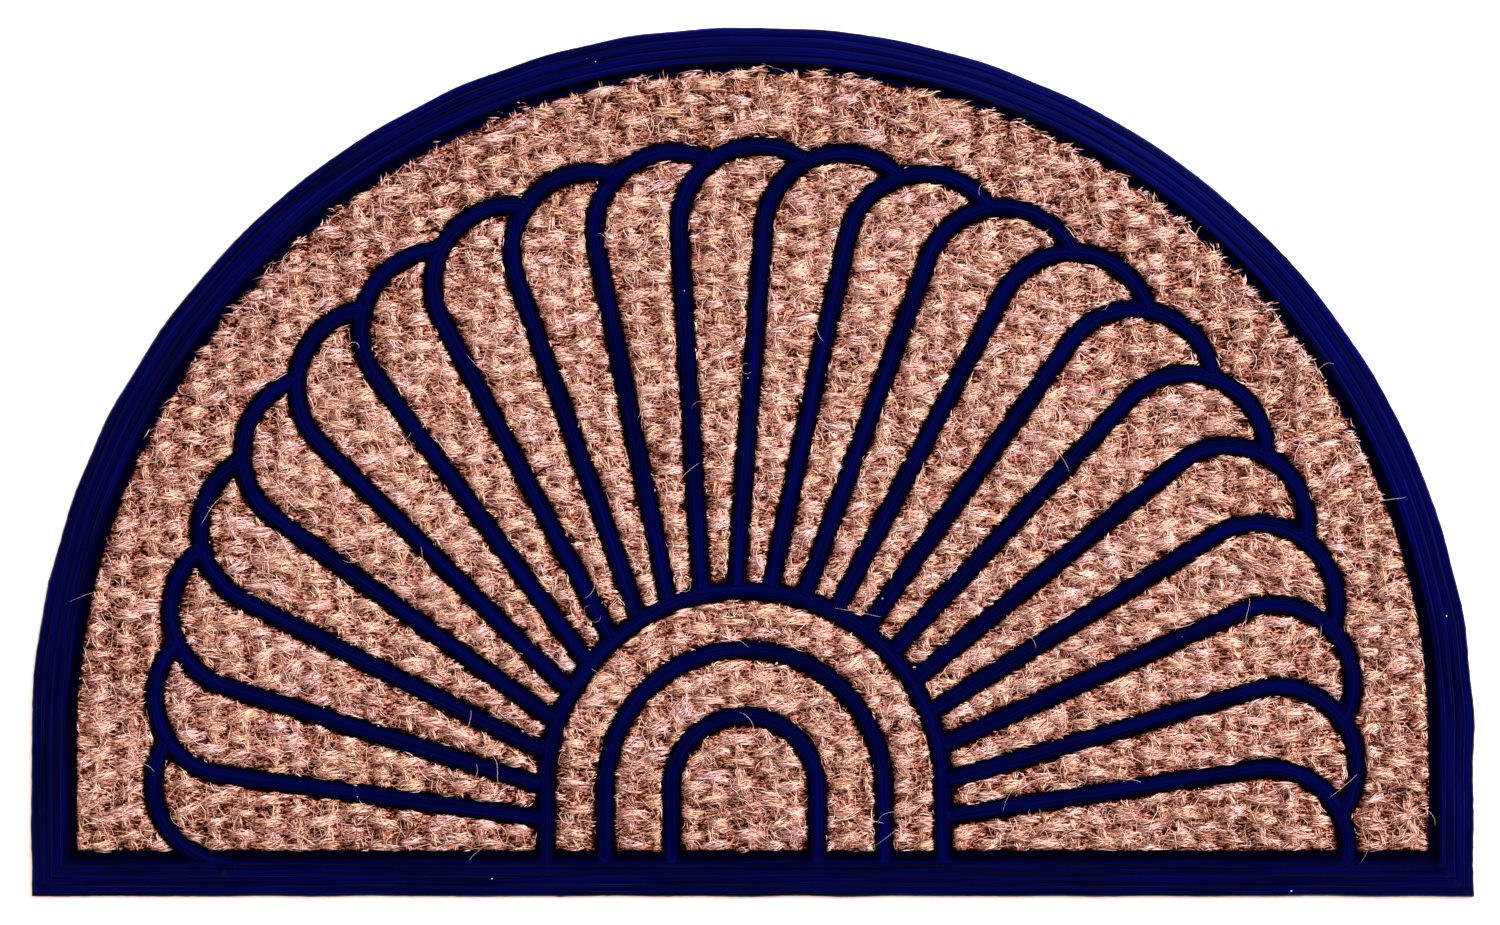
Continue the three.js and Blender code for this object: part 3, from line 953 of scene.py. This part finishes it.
def yarn_strands(nodes, over, per_yarn, rng):
    """Centrelines, thickness and shade of the fibres of all weft floats, or of all warp stretches."""
    chosen = nodes["over"] == over
    inside = inset_of(nodes["x"], nodes["y"]) > BORDER_WIDTH - FIBRE["past_border"]
    yarn = {key: np.repeat(value[chosen & inside], per_yarn)[:, None] for key, value in nodes.items()}
    count = len(yarn["x"])
    middle = rng.uniform(-FIBRE["middle"], FIBRE["middle"], (count, 1))
    half = rng.uniform(*FIBRE["half"], (count, 1))
    round_place = np.radians(rng.uniform(-FIBRE["round"], FIBRE["round"], (count, 1)))
    twist = rng.normal(*FIBRE["twist"], (count, 1))
    puff = rng.uniform(*FIBRE["puff"], (count, 1)) + rng.exponential(FIBRE["fuzz"], (count, 1))
    wander = rng.normal(0, FIBRE["wander"], (count, 1))
    phase = rng.uniform(0, 2 * math.pi, (count, 1))
    skew = rng.normal(0, FIBRE["skew"], (count, 1))
    lift = rng.exponential(FIBRE["lift"], (count, 2)) * (rng.random((count, 2)) < FIBRE["free_ends"])
    veer = rng.normal(0, FIBRE["veer"], (count, 2)) * (lift > 0)

    def places(share):
        along = middle + half * share
        girth = girth_at(along, FIBRE["least_girth"]) * puff
        turned = round_place + twist * along
        free = np.clip((np.abs(share) - FIBRE["free_from"]) / (1 - FIBRE["free_from"]), 0, 1) ** 2
        end = (share > 0).astype(int)
        raised = np.take_along_axis(lift, end, axis=1) * free
        veered = np.take_along_axis(veer, end, axis=1) * free
        run = yarn["length"] * along
        aside = yarn["width"] * girth * np.sin(turned) + veered + skew * run
        aside = aside + wander * np.cos(FIBRE["wave"] * share + phase)
        axis = yarn["end"] + (yarn["axis"] - yarn["end"]) * np.clip(1 - along ** 2, FIBRE["dip"], 1)
        z = axis + yarn["height"] * girth * np.cos(turned) + raised
        cosine, sine = np.cos(yarn["turn"]), np.sin(yarn["turn"])
        return yarn["x"] + run * cosine - aside * sine, yarn["y"] + run * sine + aside * cosine, z

    points, kept = trimmed(places, count, FIBRE["points"], rng)
    radius = rng.uniform(*FIBRE["radius"], count)
    # Painted shade: fibres are darker on a yarn's flanks and towards the ends of its float, and all a
    # little paler to make up for it.
    flank = (1 - np.cos(round_place + twist * middle))[:, 0]
    shade = yarn["shade"][:, 0] + FIBRE["paler"] - FIBRE["painted_flank_shade"] * flank
    shade = shade - FIBRE["painted_end_shade"] * middle[:, 0] ** 2 + rng.normal(0, FIBRE["shade"], count)
    shade = np.clip(shade, 0, FIBRE["palest"])
    straw = np.clip(yarn["straw"][:, 0] + rng.normal(0, FIBRE["straw"], count), 0, 1)
    return points[kept], radius[kept], shade[kept], straw[kept]


def fibre_material():
    """Single coir fibres, each of its own shade of straw or brown, faintly glossy."""
    material, tree, shader = new_material("coir_fibre")
    place = add_node(tree, "ShaderNodeTexCoord", {})["Object"]
    mottle = noise(tree, place, scale=260.0, detail=2.0)
    streaks = noise(tree, stretched(tree, place, FIBRE_STREAKS), scale=1.0, detail=2.0)
    mottled = scaled(tree, mottle, FIBRE_MOTTLE_GAIN, carried(tree, "shade"))
    darker = add_node(tree, "ShaderNodeMath", {0: mottled, 1: FIBRE_DARKER}, operation="SUBTRACT")
    shade = scaled(tree, streaks, FIBRE_STREAK_GAIN, darker["Value"])
    cast = mixed(tree, carried(tree, "straw"), BROWN_CAST, STRAW_CAST)
    feed(tree, shader, {
        "Base Color": mixed(tree, 1.0, colour_ramp(tree, shade, COIR_TONES), cast, blend="MULTIPLY"),
        "Roughness": 0.6,
        "Specular IOR Level": 0.15,
    })
    return material


def add_strands(name, points, radius, shade, straw):
    """Strands as pieces of the coir, few enough in each for one mesh."""
    parts = math.ceil(len(points) / STRANDS_PER_PIECE)
    for part in range(parts):
        mine = slice(part, None, parts)
        mesh = strand_mesh(f"{name}_{part + 1}", points[mine], radius[mine], shade[mine], straw[mine])
        mesh.materials.append(coir_fibre)
        piece = add_object(mesh.name, mesh)
        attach(piece, "root")


coir_fibre = fibre_material()
fibre_rng = np.random.default_rng(FIBRE_SEED)
add_strands("weft_fibres", *yarn_strands(weave, True, FIBRE["weft"], fibre_rng))
add_strands("warp_fibres", *yarn_strands(weave, False, FIBRE["warp"], fibre_rng))

# Loose fibres
# Broken and curled fibres stand up out of the weave all over and lie across the yarns any way. A few
# long ones have come right out and lie over the ribs and the border.
# A pair is a range, or for the shade and straw of a loose fibre the mean and spread.
LOOSE = {
    "count": 9500, "points": 5, "nearest": 0.8, "length": (7, 24), "curl": 1.4, "radius": (0.14, 0.26),
    "cling": (0.2, 1), "above": 0.9, "rise": 0.6, "droop": 0.5, "free_ends": 0.3, "lift": 1.1,
    "shade": (0.6, 0.32), "straw": (0.45, 0.3),
}
HAIR = {
    "count": 70, "points": 16, "nearest": 0.3, "farthest": 4.0, "inset": 8, "length": (9, 34),
    "curl": 1.1, "radius": (0.05, 0.1), "height": 9.6, "rise": (0.2, 1.8), "droop": 0.7,
    "shade": (0.75, 1.1), "straw": (0, 0.4),
}
CURL_STEPS = 40
HOOK_SHARE = 0.8
SCATTER_TRIES = 12
LOOSE_SEED = 41


def curled_line(count, length, curl, share, rng):
    """Level lines of random heading that bend more and more along their length, about their middle."""
    heading = rng.uniform(0, 2 * math.pi, (count, 1))
    bend = rng.normal(0, curl, (count, 1))
    hook = rng.normal(0, curl * HOOK_SHARE, (count, 1))
    steps = np.linspace(-1, 1, CURL_STEPS + 1)
    turn = heading + bend * steps + hook * steps ** 2 * np.sign(steps)
    run = np.stack([np.cos(turn), np.sin(turn)], axis=2) * (length / CURL_STEPS)[..., None]
    line = np.cumsum(run, axis=1)
    half = CURL_STEPS // 2
    line -= line[:, half:half + 1]
    at = (np.clip(share, -1, 1) + 1) * half
    low = np.minimum(at.astype(int), CURL_STEPS - 1)
    part = (at - low)[..., None]
    rows = np.arange(count)[:, None]
    return line[rows, low] * (1 - part) + line[rows, low + 1] * part


def scatter(count, nearest, farthest, rng):
    """Random places on the coir, between those distances from the rubber."""
    x = rng.uniform(-HALF_WIDTH, HALF_WIDTH, count * SCATTER_TRIES)
    y = rng.uniform(FRONT_Y, -FRONT_Y, count * SCATTER_TRIES)
    clear = clearance(x, y)
    fine = np.flatnonzero((clear > nearest) & (clear < farthest))[:count]
    return x[fine, None], y[fine, None]


def loose_strands(nodes, rng):
    """Short curled fibres that lie across the yarns."""
    x, y = scatter(LOOSE["count"], LOOSE["nearest"], np.inf, rng)
    count = len(x)
    length = rng.uniform(*LOOSE["length"], (count, 1))
    rise = rng.exponential(LOOSE["rise"], (count, 1))
    lift = rng.exponential(LOOSE["lift"], (count, 1)) * (rng.random((count, 1)) < LOOSE["free_ends"])
    cling = rng.uniform(*LOOSE["cling"], (count, 1))
    start_height = weave_height(x, y, nodes)
    seed = rng.integers(1 << 30)

    def places(share):
        line = curled_line(count, length, LOOSE["curl"], share, np.random.default_rng(seed))
        here_x, here_y = x + line[..., 0], y + line[..., 1]
        z = cling * weave_height(here_x, here_y, nodes) + (1 - cling) * start_height + LOOSE["above"]
        z = z + rise * (1 - share ** 2) - LOOSE["droop"] * share ** 2 + lift * np.maximum(share, 0) ** 2
        return here_x, here_y, z

    points, kept = trimmed(places, count, LOOSE["points"], rng)
    radius = rng.uniform(*LOOSE["radius"], count)
    shade = np.clip(rng.normal(*LOOSE["shade"], count) + rim_shade(x, y)[:, 0], 0, 1)
    straw = np.clip(rng.normal(*LOOSE["straw"], count), 0, 1)
    return points[kept], radius[kept], shade[kept], straw[kept]


def stray_hairs(rng):
    """Long pale fibres that lie on top of everything."""
    x, y = scatter(HAIR["count"], HAIR["nearest"], HAIR["farthest"], rng)
    count = len(x)
    length = rng.uniform(*HAIR["length"], (count, 1))
    share = np.tile(np.linspace(-1, 1, HAIR["points"]), (count, 1))
    line = curled_line(count, length, HAIR["curl"], share, rng)
    here_x, here_y = x + line[..., 0], y + line[..., 1]
    fine = (inset_of(here_x, here_y) > HAIR["inset"]).all(axis=1)
    z = HAIR["height"] + rng.uniform(*HAIR["rise"], (count, 1)) * (1 - share ** 2)
    points = np.stack([here_x, here_y, z - HAIR["droop"] * share ** 4], axis=2)
    radius = rng.uniform(*HAIR["radius"], count)
    shade = rng.uniform(*HAIR["shade"], count)
    straw = rng.uniform(*HAIR["straw"], count)
    return points[fine], radius[fine], shade[fine], straw[fine]


loose_rng = np.random.default_rng(LOOSE_SEED)
add_strands("loose_fibres", *loose_strands(weave, loose_rng))
add_strands("stray_hairs", *stray_hairs(loose_rng))

# Camera, light and floor
# The mat lies on a plain white floor, seen from straight above with a long lens. The light is soft
# and comes mostly from the upper right of the picture.
PHOTO_WIDTH_PX = 1500
MAT_WIDTH_PX = 1443
LENS = 200
SENSOR_WIDTH = 36
VIEW_CENTRE = (-1.4, -0.3)
VIEW_LEVEL = 3
LAMPS = {
    "upper_right": {"place": (3.75, 2.0, 2.7), "size": 1.2, "power": 488, "mirrored": False},
    "upper_right_glow": {"place": (2.0, 3.75, 2.8), "size": 1.8, "power": 180, "mirrored": True},
    "left": {"place": (-1.8, -0.2, 1.6), "size": 1.4, "power": 20, "mirrored": False},
    "overhead": {"place": (0.4, 0.5, 6.5), "size": 3.0, "power": 150, "mirrored": True},
}
FILL_COLOUR = (1.0, 0.64, 0.47, 1)
FILL_STRENGTH = 0.7
FLOOR_HALF = 4.0
FLOOR_GREY = (0.86, 0.86, 0.86, 1)
scene = bpy.context.scene
view_width = 2 * HALF_WIDTH * MM * PHOTO_WIDTH_PX / MAT_WIDTH_PX
camera_data = bpy.data.cameras.new("above")
camera_data.lens = LENS
camera_data.sensor_width = SENSOR_WIDTH
camera = bpy.data.objects.new("above", camera_data)
view_height = view_width * LENS / SENSOR_WIDTH + VIEW_LEVEL * MM
camera.location = (VIEW_CENTRE[0] * MM, VIEW_CENTRE[1] * MM, view_height)
scene.collection.objects.link(camera)
scene.camera = camera
scene.view_settings.view_transform = "Standard"


def soft_light(name, place, size, power, mirrored):
    """A square lamp that looks at the middle of the mat, and shows in its gloss or not."""
    data = bpy.data.lights.new(name, "AREA")
    data.size = size
    data.energy = power
    lamp = bpy.data.objects.new(name, data)
    lamp.location = place
    lamp.visible_glossy = mirrored
    way = -np.array(place) / np.linalg.norm(place)
    lamp.rotation_euler = (math.acos(-way[2]), 0, math.atan2(-way[0], way[1]))
    scene.collection.objects.link(lamp)


for name, lamp in LAMPS.items():
    soft_light(name, **lamp)
world = bpy.data.worlds.new("studio")
world.use_nodes = True
fill = {"Color": FILL_COLOUR, "Strength": FILL_STRENGTH}
feed(world.node_tree, world.node_tree.nodes["Background"], fill)
scene.world = world

floor_mesh = bpy.data.meshes.new("floor")
corners = [(x * FLOOR_HALF, y * FLOOR_HALF, 0) for x, y in ((-1, -1), (1, -1), (1, 1), (-1, 1))]
floor_mesh.from_pydata(corners, [], [(0, 1, 2, 3)])
floor = bpy.data.objects.new("floor", floor_mesh)
scene.collection.objects.link(floor)
pale_floor, floor_tree, floor_shader = new_material("pale_floor")
feed(floor_tree, floor_shader, {"Base Color": FLOOR_GREY, "Roughness": 0.9})
floor_mesh.materials.append(pale_floor)
